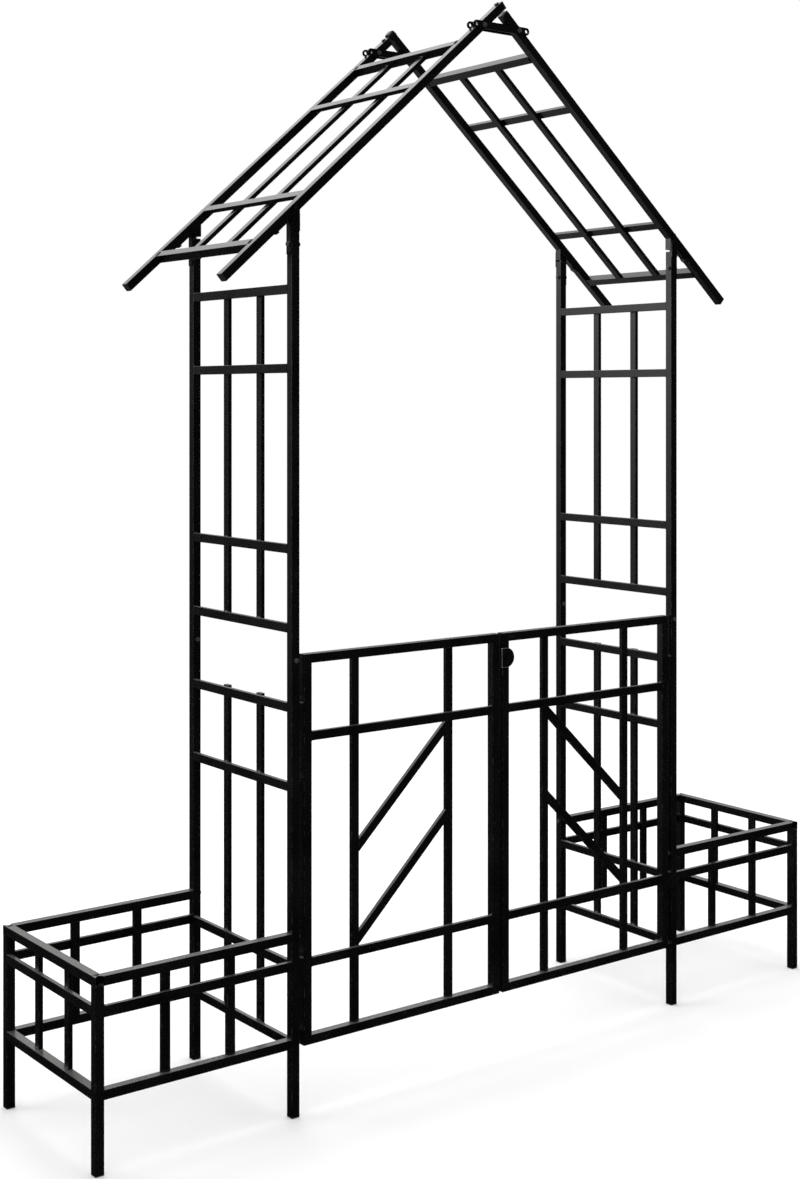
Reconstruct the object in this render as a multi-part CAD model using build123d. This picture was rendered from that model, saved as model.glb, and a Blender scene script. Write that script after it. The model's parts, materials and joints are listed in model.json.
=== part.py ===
from build123d import *

import os
from math import cos, radians, sin, tan

# Metal garden arch: gabled trellis roof on four posts, a double gate and a planter frame on each side.
# X runs along the front from left to right, Y runs to the back and Z is up. The origin is on the ground,
# in the middle of the walkway. All sizes are millimetres and degrees.

# Tube stock
tube_size = 20.0        # square tube of the posts, rails and rafters
tube_wall = 0.8
tube_corner = 1.0       # outside corner radius
bar_width = 20.0        # flat bar of the lattices, wide side in the plane of its panel
plug_head = 3.0         # thickness of a plastic plug outside its tube
plug_stem = 16.0        # length of a plug inside its tube
plug_round = 0.8        # softened rim of a plug, less than the tube's corner
plug_dome = 6.0         # height of the domed plug at the top of a long rafter
plug_dome_round = 5.5   # radius of its rounded rim
plug_clearance = 0.2    # each side, between a plug or coupler and its tube

# Plan
post_pitch_x = 1160.0   # post axis to post axis across the walkway
post_pitch_y = 417.0    # post axis to post axis, front to rear
planter_reach = 468.0   # post axis to outer leg axis

# Heights of rail axes above the ground
ground_rail = 160.0     # lowest rail of planters, side trellises and gate
middle_rail = 328.0
planter_top = 388.0
trellis_low = 712.0     # lowest open rail of the side trellis
trellis_high = 1616.0   # lower rail of the pair near the post top
rail_pitch = 171.3      # between the rails of each close pair
gate_top = 987.0
post_height = 1924.0
post_joint = 969.0      # where the lower and upper post sections meet
coupler_length = 90.0
coupler_bolt_rise = 17.0  # coupler bolt above the post joint

# Roof
roof_pitch = 41.25
rafter_rise = 38.3      # rafter axis above the post top, at the post axis
rafter_overhang = 237.5  # along the slope, from the post axis to the lower end
rafter_long_end = 11.0  # the long rafter runs past the apex
rafter_short_end = 19.0  # the short rafter stops before the apex
ridge_rail = 152.0      # slope distance from the apex to the top cross rail
eave_rail = 109.0       # slope distance from the lower end to the bottom cross rail
ridge_screw_reach = 9.0  # plug screw below the upper end of a rafter

# Ridge straps and eave fittings
strap_height = 18.0
strap_thick = 3.0
strap_pitch = 153.6     # between the two hanging eyes of a strap
strap_drop = 47.0       # strap axis below the apex
eye_diameter = 8.0
eave_strap_inset = 2.0  # edge of the strap in from the edge of the tube
eave_strap_thick = 2.5
eave_strap_drop = 62.0  # end of the strap below the post top
eave_strap_reach = 57.0  # length of the leg along the rafter
eave_bolt_drop = 40.0   # post bolt below the post top
eave_screw_reach = 46.0  # rafter screw along the leg
shoe_size = 23.0
shoe_gap = 7.0          # between the post top and the rafter shoe
stud_diameter = 8.0
stud_grip = 6.0         # inside the shoe
post_plug_head = 2.0
eave_plate_thick = 2.0
eave_plate_lap = 12.0   # gusset plate over the face of the post
eave_plate_tip = 8.0    # width of its upper end, on the rafter

# Gate
gate_post_gap = 12.0    # between a post and its hinge stile
gate_meeting_gap = 10.0  # between the two leaves
gate_flat_drop = 168.5  # upper flat rail below the top rail
brace_foot = 25.0       # lower brace above the middle rail, where it meets the outer bar
brace_rise = 236.0      # height that a brace climbs between the two bars
brace_pitch = 205.0     # vertical distance between the two braces
hinge_top_drop = 125.0  # upper hinge below the top rail
hinge_bottom_rise = 151.0  # lower hinge above the bottom rail
hinge_setback = 2.5     # hinge axis behind the front face of the gate
knuckle_diameter = 10.0
knuckle_height = 20.0
knuckle_tab = 4.0
knuckle_gap = 0.5       # between the knuckles along the pin
pin_diameter = 6.0
pin_clearance = 0.05    # radial, running fit of a leaf on its pin
pin_head = 3.0

# Latch on the right leaf
latch_drop = 48.0       # pivot below the top rail
latch_offset = 12.0     # pivot right of the middle of the gate
latch_flat = 12.5       # pivot to the straight side
latch_nose = 26.0       # pivot to the round side
latch_tall = 46.0
latch_thick = 3.5
latch_stand_off = 0.6
latch_bolt_diameter = 6.0
latch_clearance = 0.05  # radial, running fit of the plate on its bolt
latch_corner = 4.0      # at the ends of the straight side
latch_edge = 1.2        # softened front edge

# Fasteners
bolt_diameter = 6.0
bolt_clearance = 0.2    # radial, in drilled tubes and straps
bolt_head_width = 10.0  # across flats
bolt_head_height = 4.0
nut_height = 5.0
bolt_tail = 2.0         # thread showing past its nut
screw_length = 9.0      # inside the rafter
planter_bolt_grip = 14.0  # inside the end of a planter rail
bar_cap_height = 3.0
bar_cap_round = 0.9

# Derived places
half_x = post_pitch_x / 2
half_y = post_pitch_y / 2
half_tube = tube_size / 2
half_bar = bar_width / 2
bar_depth = half_tube   # two layers of flat bar are as deep as a tube
layer = bar_depth / 2   # axis of a layer of flat bar, off the middle of its panel
eave_strap_width = tube_size - 2 * eave_strap_inset
tube_bore = tube_size - 2 * tube_wall
leg_x = half_x + planter_reach
slope_cos = cos(radians(roof_pitch))
slope_sin = sin(radians(roof_pitch))
apex_height = post_height + rafter_rise + half_x * tan(radians(roof_pitch))
rafter_end = half_x / slope_cos + rafter_overhang
upper_pair = (trellis_high + rail_pitch, trellis_high)
middle_pair = (trellis_low + 3 * rail_pitch, trellis_low + 2 * rail_pitch)
upper_rails = upper_pair + middle_pair
lower_rails = (trellis_low + rail_pitch, trellis_low, middle_rail, ground_rail)
upper_bar_span = (middle_pair[1] - half_bar + bar_cap_height, upper_pair[0] + half_bar - bar_cap_height)
lower_bar_foot = ground_rail - half_bar + bar_cap_height
lower_bar_top = lower_rails[0] + half_bar
lower_bar_spans = {-1: (lower_bar_foot, lower_bar_top), 1: (lower_bar_foot, lower_bar_top - bar_cap_height)}
gate_flats = (gate_top - gate_flat_drop, middle_rail)
panel_bar_y = (-post_pitch_y / 6, post_pitch_y / 6)
hinge_stile_x = half_x - tube_size - gate_post_gap
meeting_stile_x = gate_meeting_gap / 2 + half_tube
gate_bar_step = (hinge_stile_x - meeting_stile_x) / 4
outer_bar_x = hinge_stile_x - gate_bar_step
inner_bar_x = meeting_stile_x + gate_bar_step
hinge_x = half_x - half_tube - gate_post_gap / 2
gate_front = -half_y - half_tube
hinge_y = gate_front + hinge_setback
hinge_heights = (ground_rail + hinge_bottom_rise, gate_top - hinge_top_drop)
brace_feet = (middle_rail + brace_foot, middle_rail + brace_foot + brace_pitch)
latch_height = gate_top - latch_drop
strap_height_axis = apex_height - strap_drop
strap_bolt_x = strap_drop / tan(radians(roof_pitch))
hole_radius = bolt_diameter / 2 + bolt_clearance
ends = (-1, 1)


def section(width, depth, wall=tube_wall):
    """Hollow rounded rectangle."""
    inner_corner = max(tube_corner - wall, tube_corner / 4)
    inside = RectangleRounded(width - 2 * wall, depth - 2 * wall, inner_corner)
    return RectangleRounded(width, depth, tube_corner) - inside


def tube(start, end, side, width=tube_size, depth=tube_size):
    """Straight tube between two points, with its width along the side direction."""
    run = Vector(*end) - Vector(*start)
    return extrude(Plane(origin=start, x_dir=side, z_dir=run) * section(width, depth), amount=run.length)


def flat(start, end, side):
    """Straight flat bar between two points, with its wide side along the side direction."""
    return tube(start, end, side, bar_width, bar_depth)


def rod(start, end, diameter):
    """Round bar between two points."""
    run = Vector(*end) - Vector(*start)
    return extrude(Plane(origin=start, z_dir=run) * Circle(diameter / 2), amount=run.length)


def drill(shape, start, end, radius=hole_radius):
    """Round hole between two points."""
    return shape - rod(start, end, 2 * radius)


def mitre(shape, corner, direction):
    """Cut a tube end through the corner point and keep the side away from the direction."""
    return split(shape, bisect_by=Plane(origin=corner, z_dir=direction), keep=Keep.BOTTOM)


def bolt(seat, direction, grip, nut=True):
    """Hex bolt whose head sits on the seat point, with a nut at the end of its grip."""
    plane = Plane(origin=seat, z_dir=direction)
    hexagon = RegularPolygon(bolt_head_width / 2, 6, major_radius=False)
    shank = grip + nut_height + bolt_tail if nut else grip
    shape = extrude(plane * Circle(bolt_diameter / 2), amount=shank)
    shape += extrude(plane * hexagon, amount=-bolt_head_height)
    if nut:
        shape += extrude(plane.offset(grip) * hexagon, amount=nut_height)
    return shape


def roof_point(side, along, out=0.0, y=0.0):
    """Point on a roof slope: distance down from the apex and height above the rafter axis."""
    x = along * slope_cos + out * slope_sin
    z = apex_height - along * slope_sin + out * slope_cos
    return (side * x, y, z)


def slope_up(side):
    """Outward direction square to a roof slope."""
    return (side * slope_sin, 0, slope_cos)


def export(name, solids):
    """Write one named node from its solids."""
    shape = solids[0] if len(solids) == 1 else Compound(children=list(solids))
    export_step(shape, f"parts/{name}.step")


def post_holes(shape, side, end):
    """Bolt holes of one post."""
    x, y = side * half_x, end * half_y
    for height in (planter_top, ground_rail, post_height - eave_bolt_drop):
        shape = drill(shape, (x - tube_size, y, height), (x + tube_size, y, height))
    height = post_joint + coupler_bolt_rise
    return drill(shape, (x, y - tube_size, height), (x, y + tube_size, height))


def post_section(side, end, bottom, top):
    """Lower or upper length of a post."""
    x, y = side * half_x, end * half_y
    return post_holes(tube((x, y, bottom), (x, y, top), (1, 0, 0)), side, end)


def post_coupler(side, end):
    """Square sleeve inside the joint of a post."""
    x, y = side * half_x, end * half_y
    size = tube_bore - 2 * plug_clearance
    low = post_joint - coupler_length / 2
    sleeve = tube((x, y, low), (x, y, low + coupler_length), (1, 0, 0), size, size)
    return post_holes(sleeve, side, end)


def coupler_bolt(side, end):
    """Bolt from the outer face of a post through its coupler."""
    seat = (side * half_x, end * (half_y + half_tube), post_joint + coupler_bolt_rise)
    return bolt(seat, (0, -end, 0), tube_size)


def plug(mouth, direction, head=plug_head, length=plug_stem):
    """Plastic plug with a softened head on a tube mouth and a stem inside it."""
    plane = Plane(origin=mouth, z_dir=direction)
    stem = tube_bore - 2 * plug_clearance
    cap = extrude(plane * RectangleRounded(tube_size, tube_size, tube_corner), amount=head)
    rim = cap.faces().sort_by(Axis(mouth, direction))[-1].edges()
    cap = fillet(rim, plug_round)
    return cap + extrude(plane * RectangleRounded(stem, stem, tube_corner / 2), amount=-length)


def domed_plug(mouth, direction, out, length):
    """Plastic plug with a head rounded in both directions."""
    plane = Plane(origin=mouth, z_dir=direction)
    stem = tube_bore - 2 * plug_clearance
    head = extrude(plane * RectangleRounded(tube_size, tube_size, tube_corner), amount=plug_dome)
    for across in (out, (0, 1, 0)):
        side_view = Plane(origin=mouth, x_dir=direction, z_dir=across)
        outline = side_view * RectangleRounded(2 * plug_dome, tube_size, plug_dome_round)
        head &= extrude(outline, amount=half_tube, both=True)
    return head + extrude(plane * RectangleRounded(stem, stem, tube_corner / 2), amount=-length)


def panel_rails(side, heights):
    """Flat rails between the front and rear posts of one side, in the left layer of its trellis."""
    x, reach = side * half_x - layer, half_y - half_tube
    return [flat((x, -reach, z), (x, reach, z), (0, 0, 1)) for z in heights]


def panel_bars(side, span):
    """Upright bars of a side trellis, in the layer to the right of its rails."""
    x = side * half_x + layer
    low, high = span
    return [flat((x, y, low), (x, y, high), (0, 1, 0)) for y in panel_bar_y]


def bar_cap(side, y, height, up):
    """Small cap on the upper or lower end of an upright bar."""
    place = (side * half_x + layer, y, height)
    seat = Plane(origin=place, x_dir=(1, 0, 0), z_dir=(0, 0, up))
    cap = extrude(seat * RectangleRounded(bar_depth, bar_width, tube_corner), amount=bar_cap_height)
    rim = cap.faces().sort_by(Axis(place, (0, 0, up)))[-1].edges()
    return fillet(rim, min(bar_cap_round, bar_cap_height / 2))


def bar_caps(side, y):
    """Caps on both ends of the upper and the lower bar in one line, proud of the top rail on the left."""
    spans = (upper_bar_span, lower_bar_spans[side])
    return [bar_cap(side, y, height, up) for span in spans for height, up in zip(span, ends)]


def planter_leg(side, end):
    """Outer leg under the mitred top rails."""
    x, y = side * leg_x, end * half_y
    return tube((x, y, plug_head), (x, y, planter_top - half_tube), (1, 0, 0))


def planter_end_rails(side, end, height, mitred):
    """Rail from a post to the outer leg."""
    y = end * half_y
    start = (side * (half_x + half_tube), y, height)
    if not mitred:
        return tube(start, (side * (leg_x - half_tube), y, height), (0, 1, 0))
    whole = tube(start, (side * (leg_x + half_tube), y, height), (0, 1, 0))
    return mitre(whole, (side * leg_x, y, height), (side, end, 0))


def planter_side_rail(side, height, mitred):
    """Rail between the two outer legs."""
    x = side * leg_x
    reach = half_y + half_tube if mitred else half_y - half_tube
    rail = tube((x, -reach, height), (x, reach, height), (1, 0, 0))
    if mitred:
        for end in ends:
            rail = mitre(rail, (x, end * half_y, height), (-side, end, 0))
    return rail


def planter_rails(side, height, mitred=False):
    """Three rails of a planter at one height."""
    rails = [planter_end_rails(side, end, height, mitred) for end in ends]
    return rails + [planter_side_rail(side, height, mitred)]


def planter_flats(side):
    """Three flat rails of a planter, in the outer layer of its sides."""
    near, far = side * (half_x + half_tube), side * (leg_x - half_tube)
    x, y, z = side * (leg_x + layer), half_y + layer, middle_rail
    reach = half_y - half_tube
    rails = [flat((near, end * y, z), (far, end * y, z), (0, 0, 1)) for end in ends]
    return rails + [flat((x, -reach, z), (x, reach, z), (0, 0, 1))]


def planter_bars(side):
    """Upright bars on the front, rear and outer side of a planter, in the inner layer of each."""
    low, high = ground_rail + half_tube, planter_top - half_tube
    thirds = [side * (half_x + third * planter_reach / 3) for third in (1, 2)]
    lines = [(x, end * (half_y - layer), (1, 0, 0)) for end in ends for x in thirds]
    lines += [(side * (leg_x - layer), y, (0, 1, 0)) for y in panel_bar_y]
    return [flat((x, y, low), (x, y, high), wide) for x, y, wide in lines]


def planter_insert(side, end, height):
    """Threaded plug in the end of a planter rail."""
    mouth = (side * (half_x + half_tube), end * half_y, height)
    size = tube_bore - 2 * plug_clearance
    block = extrude(Plane(origin=mouth, z_dir=(side, 0, 0)) * RectangleRounded(size, size, tube_corner / 2),
                    amount=plug_stem)
    tip = (side * (half_x + half_tube + planter_bolt_grip), end * half_y, height)
    return drill(block, mouth, tip, bolt_diameter / 2)


def planter_bolt(side, end, height):
    """Bolt from the inner face of a post into a planter rail."""
    seat = (side * (half_x - half_tube), end * half_y, height)
    return bolt(seat, (side, 0, 0), tube_size + planter_bolt_grip, nut=False)


def rafter_start(side, end):
    """Slope distance of a rafter's upper end: the long one is front left and rear right."""
    return -rafter_long_end if side == end else rafter_short_end


def rafter(side, end):
    """Sloping tube from the ridge to the eave, drilled for its fasteners."""
    y = end * half_y
    top = rafter_start(side, end)
    shape = tube(roof_point(side, top, 0, y), roof_point(side, rafter_end, 0, y), (0, 1, 0))
    bolt_x, bolt_z = side * strap_bolt_x, strap_height_axis
    shape = drill(shape, (bolt_x, y - tube_size, bolt_z), (bolt_x, y + tube_size, bolt_z))
    screw = ridge_screw_at(side, end)
    shape = drill(shape, roof_point(side, screw, 0, y), roof_point(side, screw, tube_size, y))
    inside = roof_point(side, eave_screw_at, 0, y)
    return drill(shape, inside, roof_point(side, eave_screw_at, -tube_size, y))


def ridge_screw_at(side, end):
    """Slope distance of the screw that holds the upper plug of a rafter."""
    return rafter_start(side, end) + ridge_screw_reach


def upper_plug(side, end):
    """Plug in the upper end of a rafter, domed on the long one, with a hole for its screw."""
    y = end * half_y
    away = (-side * slope_cos, 0, slope_sin)
    mouth = roof_point(side, rafter_start(side, end), 0, y)
    stem = ridge_screw_reach + bolt_diameter
    if side == end:
        shape = domed_plug(mouth, away, slope_up(side), stem)
    else:
        shape = plug(mouth, away, plug_head, stem)
    place = ridge_screw_at(side, end)
    tip = roof_point(side, place, half_tube - screw_length, y)
    return drill(shape, tip, roof_point(side, place, tube_size, y), bolt_diameter / 2)


def lower_plug(side, end):
    """Plug in the lower end of a rafter."""
    away = (side * slope_cos, 0, -slope_sin)
    return plug(roof_point(side, rafter_end, 0, end * half_y), away)


def roof_end_rails(side):
    """Square cross rails at the top and bottom of a roof panel."""
    reach = half_y - half_tube
    places = (ridge_rail, rafter_end - eave_rail)
    return [tube(roof_point(side, at, 0, -reach), roof_point(side, at, 0, reach), slope_up(side))
            for at in places]


def roof_cross_bars(side):
    """Flat cross bars, flush with the top of the rafters."""
    reach = half_y - half_tube
    down = (side * slope_cos, 0, -slope_sin)
    places = (ridge_rail + rail_pitch, rafter_end - eave_rail - rail_pitch)
    return [flat(roof_point(side, at, layer, -reach), roof_point(side, at, layer, reach), down)
            for at in places]


def roof_slats(side):
    """Flat slats under the cross bars, between the two square rails."""
    top = ridge_rail + half_tube
    low = rafter_end - eave_rail - half_tube
    return [flat(roof_point(side, top, -layer, y), roof_point(side, low, -layer, y), (0, 1, 0))
            for y in panel_bar_y]


def ridge_strap(end, face):
    """Flat strap across a rafter pair, with a hanging eye at each end."""
    y = end * half_y + face * half_tube
    plane = Plane(origin=(0, y, strap_height_axis), x_dir=(1, 0, 0), z_dir=(0, face, 0))
    outline = SlotCenterToCenter(strap_pitch, strap_height)
    outline -= Locations((-strap_pitch / 2, 0), (strap_pitch / 2, 0)) * Circle(eye_diameter / 2)
    outline -= Locations((-strap_bolt_x, 0), (strap_bolt_x, 0)) * Circle(hole_radius)
    return extrude(plane * outline, amount=strap_thick)


def ridge_bolt(side, end):
    """Bolt through both straps and a rafter."""
    seat = (side * strap_bolt_x, end * (half_y + half_tube + strap_thick), strap_height_axis)
    return bolt(seat, (0, -end, 0), tube_size + 2 * strap_thick)


def ridge_screw(side, end):
    """Screw through the top of a rafter into its upper plug."""
    seat = roof_point(side, ridge_screw_at(side, end), half_tube, end * half_y)
    return bolt(seat, (-side * slope_sin, 0, -slope_cos), screw_length, nut=False)


def under_rafter(x):
    """Height of the rafter underside at a distance from the middle of the walkway."""
    return apex_height - x * tan(radians(roof_pitch)) - half_tube / slope_cos


eave_corner_along = (half_x + half_tube + half_tube * slope_sin) / slope_cos
eave_screw_at = eave_corner_along + eave_screw_reach


def eave_strap(side, end):
    """Bent strap from the outer face of a post to the underside of its rafter."""
    face = half_x + half_tube
    corner = under_rafter(face)
    bend_drop = eave_strap_thick * (tan(radians(roof_pitch)) + 1 / slope_cos)
    tip = (eave_strap_reach * slope_cos, -eave_strap_reach * slope_sin)
    points = [
        (0, post_height - eave_strap_drop),
        (eave_strap_thick, post_height - eave_strap_drop),
        (eave_strap_thick, corner - bend_drop),
        (tip[0] - eave_strap_thick * slope_sin, corner + tip[1] - eave_strap_thick * slope_cos),
        (tip[0], corner + tip[1]),
        (0, corner),
    ]
    y = end * half_y
    start = y - side * eave_strap_width / 2
    plane = Plane(origin=(side * face, start, 0), x_dir=(side, 0, 0), z_dir=(0, -side, 0))
    shape = extrude(plane * make_face(Polyline(points, close=True)), amount=-eave_strap_width)
    height = post_height - eave_bolt_drop
    shape = drill(shape, (side * half_x, y, height), (side * (face + tube_size), y, height))
    inside = roof_point(side, eave_screw_at, 0, y)
    return drill(shape, inside, roof_point(side, eave_screw_at, -tube_size, y))


def eave_plate(side, end):
    """Flat gusset on the outer face of a post and its rafter, narrower towards the top."""
    half, tip = half_tube, eave_plate_tip / 2
    rise = rafter_rise + half_tube / slope_cos - tip * tan(radians(roof_pitch))
    shoulder = rafter_rise - half_tube / slope_cos
    points = [(-half, -eave_plate_lap), (half, -eave_plate_lap), (half, shoulder), (tip, rise),
              (-tip, rise), (-half, shoulder)]
    seat = (side * half_x, end * (half_y + half_tube), post_height)
    plane = Plane(origin=seat, x_dir=(-end, 0, 0), z_dir=(0, end, 0))
    return extrude(plane * make_face(Polyline(points, close=True)), amount=eave_plate_thick)


def eave_bolt(side, end):
    """Bolt through an eave strap and its post."""
    seat = (side * (half_x + half_tube + eave_strap_thick), end * half_y, post_height - eave_bolt_drop)
    return bolt(seat, (-side, 0, 0), tube_size + eave_strap_thick)


def eave_screw(side, end):
    """Screw from below through an eave strap into its rafter."""
    seat = roof_point(side, eave_screw_at, -half_tube - eave_strap_thick, end * half_y)
    return bolt(seat, slope_up(side), screw_length, nut=False)


def rafter_shoe(side, end):
    """Block under a rafter, cut to the roof slope and drilled for its stud."""
    x, y = side * half_x, end * half_y
    base = post_height + shoe_gap
    plane = Plane(origin=(x, y, base))
    block = extrude(plane * RectangleRounded(shoe_size, tube_size, tube_corner), amount=2 * rafter_rise)
    below = Plane(origin=(x, y, under_rafter(half_x)), z_dir=slope_up(side))
    block = split(block, bisect_by=below, keep=Keep.BOTTOM)
    strap_side = Plane(origin=(side * (half_x + half_tube), y, base), z_dir=(side, 0, 0))
    block = split(block, bisect_by=strap_side, keep=Keep.BOTTOM)
    return drill(block, (x, y, base), (x, y, base + stud_grip), stud_diameter / 2)


def shoe_stud(side, end):
    """Stud between a post plug and a rafter shoe."""
    x, y = side * half_x, end * half_y
    return rod((x, y, post_height - plug_stem), (x, y, post_height + shoe_gap + stud_grip), stud_diameter)


def post_plug(side, end):
    """Drilled plug in the top of a post."""
    x, y = side * half_x, end * half_y
    shape = plug((x, y, post_height), (0, 0, 1), post_plug_head)
    return drill(shape, (x, y, post_height - tube_size), (x, y, post_height + tube_size), stud_diameter / 2)


def foot_plug(x, y):
    """Plug under a post or leg."""
    return plug((x, y, plug_head), (0, 0, -1))


def gate_stile(side, x):
    """Upright of a gate leaf, mitred to the top and bottom rails."""
    low, high = ground_rail - half_tube, gate_top + half_tube
    shape = tube((side * x, -half_y, low), (side * x, -half_y, high), (1, 0, 0))
    inward = side if x == meeting_stile_x else -side
    shape = mitre(shape, (side * x, -half_y, gate_top), (inward, 0, 1))
    shape = mitre(shape, (side * x, -half_y, ground_rail), (inward, 0, -1))
    if side == 1 and x == meeting_stile_x:
        shape = drill(shape, latch_point(tube_size), latch_point(-2 * tube_size))
    return shape


def gate_frame_rail(side, height):
    """Top or bottom rail of a leaf, mitred to the stiles."""
    up = 1 if height == gate_top else -1
    near, far = meeting_stile_x - half_tube, hinge_stile_x + half_tube
    rail = tube((side * near, -half_y, height), (side * far, -half_y, height), (0, 1, 0))
    rail = mitre(rail, (side * meeting_stile_x, -half_y, height), (-side, 0, -up))
    return mitre(rail, (side * hinge_stile_x, -half_y, height), (side, 0, -up))


def gate_leaf_rails(side):
    """Square top and bottom rails of a leaf, with two flat rails in its front layer."""
    near, far = side * (meeting_stile_x + half_tube), side * (hinge_stile_x - half_tube)
    y = -half_y - layer
    flats = [flat((near, y, z), (far, y, z), (0, 0, 1)) for z in gate_flats]
    return [gate_frame_rail(side, gate_top)] + flats + [gate_frame_rail(side, ground_rail)]


def gate_bars(side):
    """Upright bars of a leaf, in its rear layer."""
    y, low, high = -half_y + layer, ground_rail + half_tube, gate_top - half_tube
    return [flat((side * x, y, low), (side * x, y, high), (1, 0, 0)) for x in (outer_bar_x, inner_bar_x)]


def gate_brace(side, low):
    """Sloping flat bar between the two upright bars of a leaf, rising towards the middle of the gate."""
    outer, inner = outer_bar_x - bar_width / 2, inner_bar_x + bar_width / 2
    climb = Vector(side * (inner - outer), 0, brace_rise)
    spare = climb.normalized() * (2 * bar_width)
    start = Vector(side * outer, -half_y + layer, low)
    shape = tube(tuple(start - spare), tuple(start + climb + spare), (0, 1, 0), bar_depth, bar_width)
    shape = split(shape, bisect_by=Plane(origin=start, z_dir=(side, 0, 0)), keep=Keep.BOTTOM)
    return split(shape, bisect_by=Plane(origin=start + climb, z_dir=(-side, 0, 0)), keep=Keep.BOTTOM)


def knuckle(side, low, reach):
    """Hinge barrel on a tab that runs from the pin to a face."""
    bottom, top = (side * hinge_x, hinge_y, low), (side * hinge_x, hinge_y, low + knuckle_height)
    barrel = rod(bottom, top, knuckle_diameter)
    middle = (side * (hinge_x + reach / 2), hinge_y, low + knuckle_height / 2)
    return barrel + Pos(*middle) * Box(abs(reach), knuckle_tab, knuckle_height)


def leaf_knuckle(side, height):
    """Middle barrel of a hinge, on the leaf, turning on the pin."""
    low = height - knuckle_height / 2
    shape = knuckle(side, low, -gate_post_gap / 2)
    bottom, top = (side * hinge_x, hinge_y, low), (side * hinge_x, hinge_y, low + knuckle_height)
    return drill(shape, bottom, top, pin_diameter / 2 + pin_clearance)


def post_knuckles(side, height):
    """Lower and upper barrels of a hinge, on the post."""
    step = knuckle_height + knuckle_gap
    lows = (height - knuckle_height / 2 - step, height - knuckle_height / 2 + step)
    shapes = []
    for low in lows:
        bottom, top = (side * hinge_x, hinge_y, low), (side * hinge_x, hinge_y, low + knuckle_height)
        shapes.append(drill(knuckle(side, low, gate_post_gap / 2), bottom, top, pin_diameter / 2))
    return shapes


def hinge_pin(side, height):
    """Pin through the three barrels, with a round head on top."""
    half = 1.5 * knuckle_height + knuckle_gap
    bottom, top = (side * hinge_x, hinge_y, height - half), (side * hinge_x, hinge_y, height + half)
    head = (side * hinge_x, hinge_y, height + half + pin_head)
    return rod(bottom, top, pin_diameter) + rod(top, head, knuckle_diameter)


def latch_point(forward):
    """Point on the latch pivot, by its distance in front of the gate."""
    return (latch_offset, gate_front - forward, latch_height)


def latch_plate():
    """Turning plate with one straight and one round side."""
    half = latch_tall / 2
    round_start = latch_nose - half
    outline = make_face([
        Line((round_start, -half), (-latch_flat, -half)),
        Line((-latch_flat, -half), (-latch_flat, half)),
        Line((-latch_flat, half), (round_start, half)),
        ThreePointArc((round_start, half), (latch_nose, 0), (round_start, -half)),
    ])
    outline = fillet(outline.vertices().group_by(Axis.X)[0], latch_corner)
    outline -= Circle(latch_bolt_diameter / 2 + latch_clearance)
    plane = Plane(origin=latch_point(latch_stand_off), x_dir=(1, 0, 0), z_dir=(0, -1, 0))
    plate = extrude(plane * outline, amount=latch_thick)
    front = plate.faces().sort_by(Axis.Y)[0]
    return fillet(front.outer_wire().edges(), min(latch_edge, latch_thick / 2))


def latch_bolt():
    """Pivot bolt of the latch, through the meeting stile of the right leaf."""
    clear = latch_thick + 2 * latch_stand_off
    plane = Plane(origin=latch_point(clear), z_dir=(0, 1, 0))
    shape = extrude(plane * Circle(latch_bolt_diameter / 2), amount=clear + tube_size + nut_height)
    shape += extrude(plane * Circle(bolt_head_width / 2), amount=-bolt_head_height / 2)
    hexagon = RegularPolygon(bolt_head_width / 2, 6, major_radius=False)
    return shape + extrude(plane.offset(clear + tube_size) * hexagon, amount=nut_height)


def each_corner(make):
    """One shape for each of the four posts."""
    return [make(side, end) for side in ends for end in ends]


def export_frame():
    """Posts, side trellises and planters."""
    for side, name in zip(ends, ("left", "right")):
        export(f"{name}_lower_posts", [post_section(side, end, plug_head, post_joint) for end in ends])
        export(f"{name}_upper_posts", [post_section(side, end, post_joint, post_height) for end in ends])
        export(f"{name}_upper_rails", panel_rails(side, upper_rails))
        export(f"{name}_upper_bars", panel_bars(side, upper_bar_span))
        export(f"{name}_lower_rails", panel_rails(side, lower_rails))
        export(f"{name}_lower_bars", panel_bars(side, lower_bar_spans[side]))
        export(f"{name}_planter_legs", [planter_leg(side, end) for end in ends])
        export(f"{name}_planter_top_rails", planter_rails(side, planter_top, mitred=True))
        low_rails = planter_flats(side) + planter_rails(side, ground_rail)
        export(f"{name}_planter_lower_rails", low_rails)
        export(f"{name}_planter_bars", planter_bars(side))
    export("post_couplers", each_corner(post_coupler))
    export("coupler_bolts", each_corner(coupler_bolt))
    export("bar_caps", [cap for side in ends for y in panel_bar_y for cap in bar_caps(side, y)])
    bolt_heights = (planter_top, ground_rail)
    export("planter_inserts", [planter_insert(s, e, z) for s in ends for e in ends for z in bolt_heights])
    export("planter_bolts", [planter_bolt(s, e, z) for s in ends for e in ends for z in bolt_heights])
    export("foot_plugs", [foot_plug(s * x, e * half_y) for s in ends for e in ends for x in (half_x, leg_x)])


def export_roof():
    """Rafters, cross bars and their fittings."""
    for side, name in zip(ends, ("left", "right")):
        export(f"{name}_rafters", [rafter(side, end) for end in ends])
        export(f"{name}_roof_rails", roof_end_rails(side))
        export(f"{name}_roof_cross_bars", roof_cross_bars(side))
        export(f"{name}_roof_slats", roof_slats(side))
    export("rafter_plugs", each_corner(upper_plug) + each_corner(lower_plug))
    export("ridge_straps", [ridge_strap(end, face) for end in ends for face in ends])
    export("ridge_bolts", each_corner(ridge_bolt))
    export("ridge_screws", each_corner(ridge_screw))
    export("eave_straps", each_corner(eave_strap))
    export("eave_plates", each_corner(eave_plate))
    export("eave_bolts", each_corner(eave_bolt))
    export("eave_screws", each_corner(eave_screw))
    export("rafter_shoes", each_corner(rafter_shoe))
    export("shoe_studs", each_corner(shoe_stud))
    export("post_plugs", each_corner(post_plug))


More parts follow.
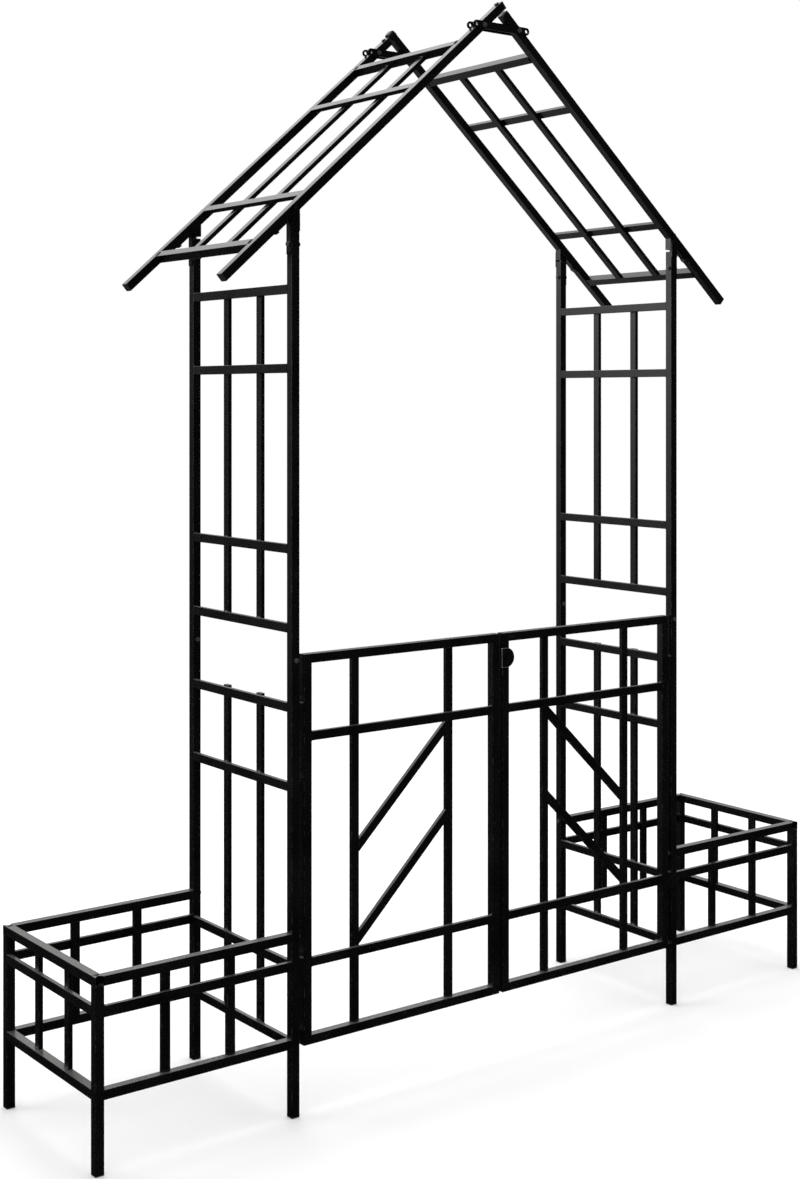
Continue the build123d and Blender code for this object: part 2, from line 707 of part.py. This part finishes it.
def export_gate():
    """Two leaves, their hinges and the latch."""
    for side, name in zip(ends, ("left", "right")):
        export(f"{name}_gate_stiles", [gate_stile(side, x) for x in (meeting_stile_x, hinge_stile_x)])
        export(f"{name}_gate_rails", gate_leaf_rails(side))
        export(f"{name}_gate_bars", gate_bars(side))
        export(f"{name}_gate_braces", [gate_brace(side, low) for low in brace_feet])
        export(f"{name}_gate_knuckles", [leaf_knuckle(side, z) for z in hinge_heights])
    export("post_knuckles", [k for side in ends for z in hinge_heights for k in post_knuckles(side, z)])
    export("hinge_pins", [hinge_pin(side, z) for side in ends for z in hinge_heights])
    export("latch_plate", [latch_plate()])
    export("latch_bolt", [latch_bolt()])


os.makedirs("parts", exist_ok=True)
export_frame()
export_roof()
export_gate()
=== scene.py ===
import json
import math

import bmesh
import bpy
from mathutils import Matrix, Vector


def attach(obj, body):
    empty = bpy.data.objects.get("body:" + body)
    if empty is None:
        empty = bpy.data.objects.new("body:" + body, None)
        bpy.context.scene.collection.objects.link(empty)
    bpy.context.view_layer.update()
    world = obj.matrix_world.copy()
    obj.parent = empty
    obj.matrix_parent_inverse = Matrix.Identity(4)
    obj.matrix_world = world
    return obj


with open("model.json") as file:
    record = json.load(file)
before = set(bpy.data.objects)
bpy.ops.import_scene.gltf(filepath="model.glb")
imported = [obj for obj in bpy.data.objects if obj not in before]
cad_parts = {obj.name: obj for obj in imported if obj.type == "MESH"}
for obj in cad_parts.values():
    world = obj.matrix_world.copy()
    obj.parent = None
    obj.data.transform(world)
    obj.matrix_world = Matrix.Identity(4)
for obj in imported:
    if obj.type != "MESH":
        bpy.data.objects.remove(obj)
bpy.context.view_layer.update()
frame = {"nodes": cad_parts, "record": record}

nodes = frame["nodes"]
slotOf = {part["node"]: part["material_slot"] for part in frame["record"]["subparts"]}


class Value:
    # one output socket that can be used in plain arithmetic
    def __init__(self, finish, socket):
        self.finish = finish
        self.socket = socket

    def math(self, operation, first, second):
        return self.finish.node("ShaderNodeMath", {"operation": operation}, {0: first, 1: second})

    def __add__(self, other):
        return self.math("ADD", self, other)

    def __radd__(self, other):
        return self.math("ADD", other, self)

    def __sub__(self, other):
        return self.math("SUBTRACT", self, other)

    def __rsub__(self, other):
        return self.math("SUBTRACT", other, self)

    def __mul__(self, other):
        return self.math("MULTIPLY", self, other)


class Finish:
    # a node tree with one way to add a node
    def __init__(self, owner):
        owner.use_nodes = True
        self.owner = owner
        self.tree = owner.node_tree
        self.tree.nodes.clear()

    def node(self, kind, settings=None, sockets=None, out=0):
        made = self.tree.nodes.new(kind)
        for key, value in (settings or {}).items():
            setattr(made, key, value)
        for key, value in (sockets or {}).items():
            if isinstance(value, Value):
                self.tree.links.new(value.socket, made.inputs[key])
            else:
                made.inputs[key].default_value = value
        return Value(self, made.outputs[out]) if made.outputs else None

    def noise(self, waves, detail, rough):
        # waves in a metre
        place = self.node("ShaderNodeTexCoord", out="Object")
        return self.node("ShaderNodeTexNoise", None,
                         {"Vector": place, "Scale": waves, "Detail": detail, "Roughness": rough})

    def band(self, value, low, high):
        # 0 below low, 1 above high, eased between
        return self.node("ShaderNodeMapRange", {"interpolation_type": "SMOOTHSTEP"},
                         {"Value": value, "From Min": low, "From Max": high})

    def blend(self, share, first, second):
        return self.node("ShaderNodeMix", {"data_type": "RGBA"},
                         {"Factor": share, 6: first, 7: second}, out=2)

    def component(self, vector, axis):
        return self.node("ShaderNodeSeparateXYZ", None, {0: vector}, out=axis)

    def leftOfBack(self, across, away):
        # radians to the left of straight back
        return self.node("ShaderNodeMath", {"operation": "ARCTAN2"}, {0: 0 - across, 1: away})

    def ray(self, kind):
        return self.node("ShaderNodeLightPath", out=f"Is {kind} Ray")

    def skin(self, colour, rough, height, bump, more):
        # surface of a material, with a fine bump
        strength, depth = bump
        normal = self.node("ShaderNodeBump", None, {"Strength": strength, "Distance": depth, "Height": height})
        surface = self.node("ShaderNodeBsdfPrincipled", None,
                            {"Base Color": colour, "Roughness": rough, "Normal": normal, **more})
        self.node("ShaderNodeOutputMaterial", None, {"Surface": surface})
        return self.owner


noiseMiddle = 0.5
# noises are waves in a metre, detail and roughness
coat = {
    "deep": (0.0011, 0.0011, 0.0012, 1),
    "pale": (0.0025, 0.0025, 0.0027, 1),
    "rub": (0.017, 0.0165, 0.016, 1),  # where the satin skin is lightly rubbed
    "worn": (0.045, 0.044, 0.042, 1),  # along the corners of the tubes
    "dustAndTopLight": (0.078, 0.077, 0.074, 1),  # painted top light: the level top faces made lighter, as if lit from above
    "gloss": 0.26,
    "fittingGloss": 0.21,
    "specular": {"Specular IOR Level": 0.42},
    "cloud": (9, 3, 0.5),
    "cloudBand": (0.35, 0.65),
    "cloudGloss": 0.08,
    "grain": (240, 3, 0.6),
    "grainGloss": 0.12,
    "grainHeight": 0.3,
    "peel": (620, 1.5, 0.5),           # orange peel
    "peelHeight": 0.7,
    "rubbed": (34, 5, 0.7),
    "rubBand": (0.63, 0.74),
    "rubShare": 0.55,
    "rubGloss": 0.06,
    "chipped": (55, 4, 0.65),
    "chipBand": (0.50, 0.66),
    "chipShare": 0.8,
    "chipGloss": 0.10,
    "flatBand": (0.86, 0.985),         # how far a face looks along its nearest axis
    "levelBand": (0.90, 0.99),         # and how far it looks up
    "topLightLeast": 0.75,
    "topLightSpread": 0.5,
    "rippleHeight": 4.0,
    "bump": (0.55, 0.00006),           # strength, and depth in metres
    "roofPitch": 41.25,                # degrees, the tubes of the roof
    "bracePitch": 43.75,               # and the braces of the gate
}


def cornerMask(finish, lean):
    # 1 on the rounded corners of straight tubes that lean by this angle
    turn = math.radians(lean)
    facing = finish.node("ShaderNodeTexCoord", out="Normal")
    flat = 0.0
    for axis in ((math.cos(turn), 0, math.sin(turn)), (-math.sin(turn), 0, math.cos(turn)), (0, 1, 0)):
        share = finish.node("ShaderNodeVectorMath", {"operation": "DOT_PRODUCT"},
                            {0: facing, 1: axis}, out="Value")
        share = finish.node("ShaderNodeMath", {"operation": "ABSOLUTE"}, {0: share})
        flat = finish.node("ShaderNodeMath", {"operation": "MAXIMUM"}, {0: share, 1: flat})
    return 1 - finish.band(flat, *coat["flatBand"])


def topMask(finish):
    # 1 on the level faces that look up, where the top light is painted
    facing = finish.node("ShaderNodeTexCoord", out="Normal")
    return finish.band(finish.component(facing, "Z"), *coat["levelBand"])


def powderCoat(name, gloss, lean=None, ripple=None):
    finish = Finish(bpy.data.materials.new(name))
    cloud = finish.noise(*coat["cloud"])
    grain = finish.noise(*coat["grain"])
    peel = finish.noise(*coat["peel"])
    rub = finish.band(finish.noise(*coat["rubbed"]), *coat["rubBand"])
    colour = finish.blend(finish.band(cloud, *coat["cloudBand"]), coat["deep"], coat["pale"])
    colour = finish.blend(rub * coat["rubShare"], colour, coat["rub"])
    rough = gloss + (cloud - noiseMiddle) * coat["cloudGloss"] + (grain - noiseMiddle) * coat["grainGloss"]
    rough = rough + rub * coat["rubGloss"]
    if lean is not None:
        worn = cornerMask(finish, lean) * finish.band(finish.noise(*coat["chipped"]), *coat["chipBand"])
        colour = finish.blend(worn * coat["chipShare"], colour, coat["worn"])
        rough = rough + worn * coat["chipGloss"]
        # painted top light: the level top faces are made lighter, as if lit from above
        dustAndTopLight = topMask(finish) * (coat["topLightLeast"] + cloud * coat["topLightSpread"])
        colour = finish.blend(dustAndTopLight, colour, coat["dustAndTopLight"])
    height = peel * coat["peelHeight"] + grain * coat["grainHeight"]
    if ripple:
        height = height + finish.noise(*ripple) * coat["rippleHeight"]
    return finish.skin(colour, rough, height, coat["bump"], coat["specular"])


latch = {
    "rim": (0.17, 0.168, 0.162, 1),    # edge of the plate, rubbed by hands and made light as a painted highlight along the rounded edge
    "rimGloss": 0.10,                  # more than the coat
    "cloud": (60, 3, 0.5),
    "rubbed": (90, 3, 0.5),
    "rubBand": (0.28, 0.46),
}


def latchCoat(name):
    finish = Finish(bpy.data.materials.new(name))
    cloud = finish.noise(*latch["cloud"])
    grain = finish.noise(*coat["grain"])
    # the rim is partly rubbed wear and partly a painted highlight where the rounded edge catches the light
    rim = cornerMask(finish, 0) * finish.band(finish.noise(*latch["rubbed"]), *latch["rubBand"])
    colour = finish.blend(cloud, coat["deep"], coat["pale"])
    colour = finish.blend(rim, colour, latch["rim"])
    rough = coat["gloss"] + (grain - noiseMiddle) * coat["grainGloss"] + rim * latch["rimGloss"]
    return finish.skin(colour, rough, grain, coat["bump"], coat["specular"])


zinc = {
    "dark": (0.060, 0.060, 0.065, 1),
    "bright": (0.17, 0.168, 0.162, 1),  # plating worn by the spanner
    "gloss": 0.27,
    "metal": {"Metallic": 0.45},
    "cloud": (70, 3, 0.5),
    "cloudGloss": 0.16,
    "fine": (900, 2, 0.6),
    "fineGloss": 0.12,
    "worn": (160, 4, 0.65),
    "wornBand": (0.56, 0.70),
    "wornShare": 0.7,
    "bump": (0.4, 0.00004),
}


def blackZinc(name):
    finish = Finish(bpy.data.materials.new(name))
    cloud = finish.noise(*zinc["cloud"])
    fine = finish.noise(*zinc["fine"])
    worn = finish.band(finish.noise(*zinc["worn"]), *zinc["wornBand"])
    colour = finish.blend(worn * zinc["wornShare"], zinc["dark"], zinc["bright"])
    rough = zinc["gloss"] + (cloud - noiseMiddle) * zinc["cloudGloss"]
    rough = rough + (fine - noiseMiddle) * zinc["fineGloss"]
    return finish.skin(colour, rough, fine, zinc["bump"], zinc["metal"])


moulding = {
    "deep": (0.006, 0.006, 0.0063, 1),
    "pale": (0.013, 0.013, 0.0134, 1),
    "dustAndTopLight": (0.055, 0.052, 0.047, 1),
    "gloss": 0.38,
    "cloud": (45, 2, 0.5),
    "grain": (1500, 2, 0.6),
    "grainGloss": 0.18,
    "dusty": (120, 5, 0.7),
    "dustBand": (0.58, 0.72),
    "dustShare": 0.35,
    "dustGloss": 0.10,
    "bump": (0.5, 0.00005),
}


def mouldedPlastic(name):
    finish = Finish(bpy.data.materials.new(name))
    cloud = finish.noise(*moulding["cloud"])
    grain = finish.noise(*moulding["grain"])
    dustAndTopLight = finish.band(finish.noise(*moulding["dusty"]), *moulding["dustBand"])
    colour = finish.blend(cloud, moulding["deep"], moulding["pale"])
    colour = finish.blend(dustAndTopLight * moulding["dustShare"], colour, moulding["dustAndTopLight"])
    rough = moulding["gloss"] + (grain - noiseMiddle) * moulding["grainGloss"] + dustAndTopLight * moulding["dustGloss"]
    return finish.skin(colour, rough, grain, moulding["bump"], {})


finishes = {
    "coated_frame": powderCoat("satinPowderCoat", coat["gloss"], lean=0),
    "coated_fittings": powderCoat("fittingPowderCoat", coat["fittingGloss"]),
    "black_fasteners": blackZinc("blackZincPlate"),
    "black_plastic": mouldedPlastic("mouldedBlackPlastic"),
    "left_roof": powderCoat("leftRoofPowderCoat", coat["gloss"], lean=coat["roofPitch"]),
    "right_roof": powderCoat("rightRoofPowderCoat", coat["gloss"], lean=-coat["roofPitch"]),
    "left_braces": powderCoat("leftBracePowderCoat", coat["gloss"], lean=coat["bracePitch"]),
    "right_braces": powderCoat("rightBracePowderCoat", coat["gloss"], lean=-coat["bracePitch"]),
    "latch_plate": latchCoat("latchPowderCoat"),
}
latchFinish = {"latch_plate": "latch_plate", "latch_bolt": "coated_fittings"}


def finishOf(name):
    side = name.split("_")[0]
    if "_roof_" in name or name.endswith("_rafters"):
        return finishes[side + "_roof"]
    if name.endswith("_gate_braces"):
        return finishes[side + "_braces"]
    return finishes[latchFinish.get(name, slotOf[name])]


for name, node in nodes.items():
    node.data.materials.clear()
    node.data.materials.append(finishOf(name))
print("finishes:", len(finishes), "on", len(nodes), "nodes")


weld = {
    "radius": 0.0026,      # of the bead's round section
    "tip": 0.35,           # share of that radius at both ends of a bead
    "wave": 0.06,          # and of the ripples along it
    "sink": 0.0009,        # bead axis inside the corner
    "share": 0.82,         # of the bar's width
    "steps": 6,
    "sides": 8,
    "outerEnd": 0.80,      # planter rails are welded only beyond this distance from the middle
    "lap": 0.004,          # least overlap of two bars that cross
    "touch": 0.0002,       # most gap between them
    "same": 1e-6,          # corners of a solid this close are one
    "gloss": 0.30,
    "ripple": (380, 1, 0.5),
}
axisX, axisY, axisZ = range(3)
bothFaces = (-1, 1)
quarter = math.radians(90)


def beadGirth(step):
    # share of the bead's radius after this many steps
    swell = math.sin(math.pi * step / weld["steps"]) ** 0.5
    return weld["tip"] + (1 - weld["tip"]) * swell + weld["wave"] * (step % 2)


def beadMesh():
    # one bead along X, a tapered round strip with slight ripples
    bm = bmesh.new()
    ring = bmesh.ops.create_circle(bm, cap_ends=False, segments=weld["sides"], radius=1.0,
                                   matrix=Matrix.Rotation(quarter, 4, "Y"))["verts"]
    bmesh.ops.translate(bm, verts=ring, vec=(-0.5, 0, 0))
    edges = list({edge for vert in ring for edge in vert.link_edges})
    bmesh.ops.scale(bm, verts=ring, vec=(1, weld["tip"], weld["tip"]))
    bmesh.ops.contextual_create(bm, geom=edges)
    for step in range(1, weld["steps"] + 1):
        grown = bmesh.ops.extrude_edge_only(bm, edges=edges)["geom"]
        verts = [item for item in grown if isinstance(item, bmesh.types.BMVert)]
        edges = [item for item in grown if isinstance(item, bmesh.types.BMEdge)]
        growth = beadGirth(step) / beadGirth(step - 1)
        bmesh.ops.translate(bm, verts=verts, vec=(1 / weld["steps"], 0, 0))
        bmesh.ops.scale(bm, verts=verts, vec=(1, growth, growth))
    bmesh.ops.contextual_create(bm, geom=edges)
    bmesh.ops.recalc_face_normals(bm, faces=bm.faces)
    for face in bm.faces:
        face.smooth = True
    mesh = bpy.data.meshes.new("weldBead")
    bm.to_mesh(mesh)
    bm.free()
    return mesh


def solidBoxes(name, turn=Matrix.Identity(4)):
    # lowest and highest corner of each solid in a node, seen in the turned frame
    bm = bmesh.new()
    bm.from_mesh(nodes[name].data)
    bmesh.ops.remove_doubles(bm, verts=bm.verts, dist=weld["same"])
    bmesh.ops.transform(bm, matrix=turn, verts=bm.verts)
    left = set(bm.faces)
    boxes = []
    while left:
        front = [left.pop()]
        corners = []
        while front:
            face = front.pop()
            corners += [vert.co.copy() for vert in face.verts]
            # an edge with four faces is where two solids only touch
            inside = [edge for edge in face.edges if len(edge.link_faces) == 2]
            fresh = {other for edge in inside for other in edge.link_faces} & left
            left -= fresh
            front += fresh
        boxes.append((Vector(map(min, zip(*corners))), Vector(map(max, zip(*corners)))))
    bm.free()
    return sorted(boxes, key=lambda box: tuple(box[0]))


def beadSites(box, along, across, faces):
    # beads at both ends of a solid, on the given faces of its third axis
    low, high = box
    third = axisX + axisY + axisZ - along - across
    sites = []
    for end, inward in ((low, 1), (high, -1)):
        for face in faces:
            spot = (low + high) / 2
            spot[along] = end[along] + inward * weld["sink"]
            spot[third] = (high if face > 0 else low)[third] + face * (weld["sink"] - weld["radius"] / 2)
            sites.append((spot, across, (high[across] - low[across]) * weld["share"]))
    return sites


def addBeads(bm, template, sites, turn=Matrix.Identity(4)):
    turns = (Matrix.Identity(4), Matrix.Rotation(quarter, 4, "Z"), Matrix.Rotation(quarter, 4, "Y"))
    for spot, across, length in sites:
        known = len(bm.verts)
        bm.from_mesh(template)
        bm.verts.ensure_lookup_table()
        shape = turn @ Matrix.Translation(spot) @ turns[across]
        shape = shape @ Matrix.Diagonal((length, weld["radius"], weld["radius"], 1))
        bmesh.ops.transform(bm, matrix=shape, verts=bm.verts[known:])


def wideAxis(box):
    # the level axis along which a solid is longer
    size = box[1] - box[0]
    return axisX if size.x > size.y else axisY


def otherLevel(axis):
    # X for Y and Y for X
    return axisX + axisY - axis


def overlap(first, second, axis):
    return min(first[1][axis], second[1][axis]) - max(first[0][axis], second[0][axis])


def crossingSites(bars, rails):
    # beads above and below each flat rail, in the corner with an upright bar behind it
    sites = []
    for bar in bars:
        across = wideAxis(bar)
        third = otherLevel(across)
        for rail in rails:
            lap = min(overlap(bar, rail, across), overlap(bar, rail, axisZ))
            gaps = [abs(bar[0][third] - rail[1][third]), abs(bar[1][third] - rail[0][third])]
            if lap < weld["lap"] or min(gaps) > weld["touch"]:
                continue
            face, outward = (bar[0][third], -1) if gaps[0] < gaps[1] else (bar[1][third], 1)
            for edge, up in ((rail[0].z, -1), (rail[1].z, 1)):
                spot = (bar[0] + bar[1]) / 2
                spot[third] = face - outward * weld["sink"]
                spot.z = edge - up * weld["sink"]
                if bar[0].z + weld["lap"] < spot.z < bar[1].z - weld["lap"]:
                    sites.append((spot, across, (bar[1][across] - bar[0][across]) * weld["share"]))
    return sites


def trellisSites(side):
    sites = []
    for tier in ("upper", "lower"):
        rails = solidBoxes(f"{side}_{tier}_rails")
        for rail in rails:
            sites += beadSites(rail, axisY, axisX, bothFaces)
        sites += crossingSites(solidBoxes(f"{side}_{tier}_bars"), rails)
    return sites


def planterSites(side):
    sites = []
    rails = solidBoxes(f"{side}_planter_lower_rails")
    bars = solidBoxes(f"{side}_planter_bars")
    for bar in bars:
        across = wideAxis(bar)
        outward = 1 if (bar[0] + bar[1])[otherLevel(across)] > 0 else -1
        sites += beadSites(bar, axisZ, across, (outward,))
    for rail in rails:
        along = wideAxis(rail)
        ends = beadSites(rail, along, otherLevel(along), bothFaces)
        sites += [site for site in ends if abs(site[0].x) > weld["outerEnd"]]
    return sites + crossingSites(bars, rails)


def roofSites(side, turn):
    sites = []
    for rail in solidBoxes(f"{side}_roof_rails", turn):
        sites += beadSites(rail, axisY, axisX, bothFaces)
    for bar in solidBoxes(f"{side}_roof_cross_bars", turn):
        sites += beadSites(bar, axisY, axisX, (-1,))
    for slat in solidBoxes(f"{side}_roof_slats", turn):
        sites += beadSites(slat, axisX, axisY, (1,))
    return sites


def gateSites(side):
    sites = []
    rails = sorted(solidBoxes(f"{side}_gate_rails"), key=lambda box: box[0].z)
    bars = solidBoxes(f"{side}_gate_bars")
    for flat in rails[1:3]:  # between the square bottom and top rails
        sites += beadSites(flat, axisX, axisY, bothFaces)
    for bar in bars:
        sites += beadSites(bar, axisZ, axisX, (-1,))
    return sites + crossingSites(bars, rails)


def weldPiece(name, body, bm):
    mesh = bpy.data.meshes.new(name)
    bm.to_mesh(mesh)
    bm.free()
    piece = bpy.data.objects.new(name, mesh)
    bpy.context.scene.collection.objects.link(piece)
    mesh.materials.append(weldCoat)
    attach(piece, body)
    print("welds:", name, len(mesh.polygons), "faces")


weldCoat = powderCoat("weldPowderCoat", weld["gloss"], ripple=weld["ripple"])
bead = beadMesh()
for side, lean in (("left", 1), ("right", -1)):
    slope = Matrix.Rotation(math.radians(lean * coat["roofPitch"]), 4, "Y")
    bm = bmesh.new()
    addBeads(bm, bead, trellisSites(side) + planterSites(side))
    addBeads(bm, bead, roofSites(side, slope), slope.inverted())
    weldPiece(f"{side}_frame_welds", "frame", bm)
    bm = bmesh.new()
    addBeads(bm, bead, gateSites(side))
    weldPiece(f"{side}_gate_welds", f"{side}_gate", bm)
bpy.data.meshes.remove(bead)


# pairs are the two ends of an eased band: metres on the floor, parts of a direction in the room,
# and radians for the turns
studio = {
    "white": (1, 1, 1, 1),
    "floorReach": 14.0,
    "floorCells": 8,
    "floorDrop": 0.0004,                        # below the feet
    "floorColour": (0.96, 0.96, 0.96, 1),
    "floorPaintedDimReflection": (0.015, 0.015, 0.015, 1),  # painted reflection: the floor shown dim to the reflections in the satin coat
    "floorPaintedLightBehind": (0.30, 0.30, 0.30, 1),       # and a painted pool of light where the light falls behind the object
    "behindAway": (1.4, 2.2),
    "behindAcross": (-0.9, -0.1),
    "floorPaintedGlow": (0.30, 0.30, 0.30, 1),         # and a painted glow far off in front of the screen
    "glowTurn": (0.64, 0.74),                   # radians to the left of straight back
    "glowReach": (4.0, 11.0),
    "fade": (2.0, 5.5),                         # where the floor turns to backdrop white
    "fill": 0.92,                               # level of the room for diffuse light
    "frontLevel": 0.012,                        # reflections of the dim room in front of the object
    "horizonLevel": 0.03,                       # and of the room behind it, brighter with height
    "back": (-0.40, 0.35),
    "middleLevel": 0.70,
    "middleHeight": (0.08, 0.36),
    "topLevel": 1.62,
    "topHeight": (0.28, 0.62),
    "rightLevel": 0.08,                         # added on the right, for the tops of the level rails
    "rightAcross": (0.05, 0.35),
    "rightHeight": (0.02, 0.20),
    "screenLevel": 3.0,                         # tall bright screen back on the left
    "screenTurn": (0.69, 0.77),
    "screenHeight": (-0.04, 0.05),
    "lamps": (
        # name, place, aim, width, height, watts
        ("topPanel", (0.3, 0.4, 5.6), (0, 0, 1.0), 4.0, 3.0, 100),
        ("backPanel", (1.2, 4.6, 5.2), (0, 0, 2.0), 4.5, 2.2, 60),
        ("leftPanel", (-5.4, 4.0, 2.8), (0, 0, 1.6), 1.6, 2.4, 50),
    ),
}


def floorPaint():
    finish = Finish(bpy.data.materials.new("paleFloorPaint"))
    place = finish.node("ShaderNodeTexCoord", out="Object")
    reach = finish.node("ShaderNodeVectorMath", {"operation": "LENGTH"}, {0: place}, out="Value")
    across = finish.component(place, "X")
    away = finish.component(place, "Y")
    behind = finish.band(away, *studio["behindAway"]) * finish.band(across, *studio["behindAcross"])
    turned = finish.leftOfBack(across, away)
    glow = finish.band(turned, *studio["glowTurn"]) * finish.band(reach, *studio["glowReach"])
    # painted reflection: glossy rays see a dim floor with painted pools of light, the camera sees the pale
    # floor
    mirrored = finish.blend(behind, studio["floorPaintedDimReflection"], studio["floorPaintedLightBehind"])
    mirrored = finish.blend(glow, mirrored, studio["floorPaintedGlow"])
    colour = finish.blend(finish.ray("Glossy"), studio["floorColour"], mirrored)
    paint = finish.node("ShaderNodeBsdfDiffuse", None, {"Color": colour})
    white = finish.node("ShaderNodeEmission", None, {"Color": studio["white"], "Strength": 1.0})
    fade = finish.band(reach, *studio["fade"]) * finish.ray("Camera")
    surface = finish.node("ShaderNodeMixShader", None, {0: fade, 1: paint, 2: white})
    finish.node("ShaderNodeOutputMaterial", None, {"Surface": surface})
    return finish.owner


def makeFloor():
    bm = bmesh.new()
    bmesh.ops.create_grid(bm, x_segments=studio["floorCells"], y_segments=studio["floorCells"],
                          size=studio["floorReach"], matrix=Matrix.Translation((0, 0, -studio["floorDrop"])))
    mesh = bpy.data.meshes.new("paleFloor")
    bm.to_mesh(mesh)
    bm.free()
    floor = bpy.data.objects.new("paleFloor", mesh)
    bpy.context.scene.collection.objects.link(floor)
    mesh.materials.append(floorPaint())


def makeRoom():
    world = bpy.data.worlds.new("studioRoom")
    bpy.context.scene.world = world
    finish = Finish(world)
    way = finish.node("ShaderNodeTexCoord", out="Generated")
    across, away, height = (finish.component(way, axis) for axis in "XYZ")
    turned = finish.leftOfBack(across, away)
    screen = finish.band(turned, *studio["screenTurn"]) * finish.band(height, *studio["screenHeight"])
    right = finish.band(across, *studio["rightAcross"]) * finish.band(height, *studio["rightHeight"])
    middle = finish.band(height, *studio["middleHeight"])
    top = finish.band(height, *studio["topHeight"])
    wall = (studio["horizonLevel"] + middle * studio["middleLevel"] + right * studio["rightLevel"]
            + top * studio["topLevel"] + screen * studio["screenLevel"])
    glossy = finish.ray("Glossy")
    mirrored = glossy * (studio["frontLevel"] + finish.band(away, *studio["back"]) * wall)
    seen = finish.node("ShaderNodeMath", {"operation": "MAXIMUM"},
                       {0: finish.ray("Camera"), 1: finish.ray("Transmission")})
    level = seen + (1 - seen) * (mirrored + (1 - glossy) * studio["fill"])
    room = finish.node("ShaderNodeBackground", None, {"Color": studio["white"], "Strength": level})
    finish.node("ShaderNodeOutputWorld", None, {"Surface": room})


def makeLamps():
    for name, place, aim, width, height, watts in studio["lamps"]:
        lamp = bpy.data.lights.new(name, "AREA")
        lamp.shape = "RECTANGLE"
        lamp.size = width
        lamp.size_y = height
        lamp.energy = watts
        holder = bpy.data.objects.new(name, lamp)
        holder.location = place
        holder.rotation_euler = (Vector(aim) - Vector(place)).to_track_quat("-Z", "Y").to_euler()
        holder.visible_camera = False
        holder.visible_glossy = False
        bpy.context.scene.collection.objects.link(holder)


makeFloor()
makeRoom()
makeLamps()
bpy.context.scene.view_settings.view_transform = "Standard"
print("studio: floor, room and", len(studio["lamps"]), "lamps")


view = {
    "place": (-2.6591, -3.3423, 1.5523),
    "heading": 37.091,     # degrees to the right of straight ahead
    "focalPixels": 1738.2,
    "framePixels": (800, 1179),
    "horizonRow": 397.75,
    "middleColumn": 400.4,
    "sensor": 36.0,
    "clipEnd": 200,
}


def makeCamera():
    wide, tall = view["framePixels"]
    camera = bpy.data.cameras.new("photoCamera")
    camera.sensor_width = view["sensor"]
    camera.lens = view["focalPixels"] / tall * view["sensor"]
    camera.shift_x = (wide / 2 - view["middleColumn"]) / tall
    camera.shift_y = (view["horizonRow"] - tall / 2) / tall
    camera.clip_end = view["clipEnd"]
    holder = bpy.data.objects.new("photoCamera", camera)
    holder.location = view["place"]
    holder.rotation_euler = (quarter, 0, math.radians(-view["heading"]))
    bpy.context.scene.collection.objects.link(holder)
    bpy.context.scene.camera = holder


makeCamera()
print("camera: lens", round(bpy.context.scene.camera.data.lens, 2))

bpy.context.view_layer.update()
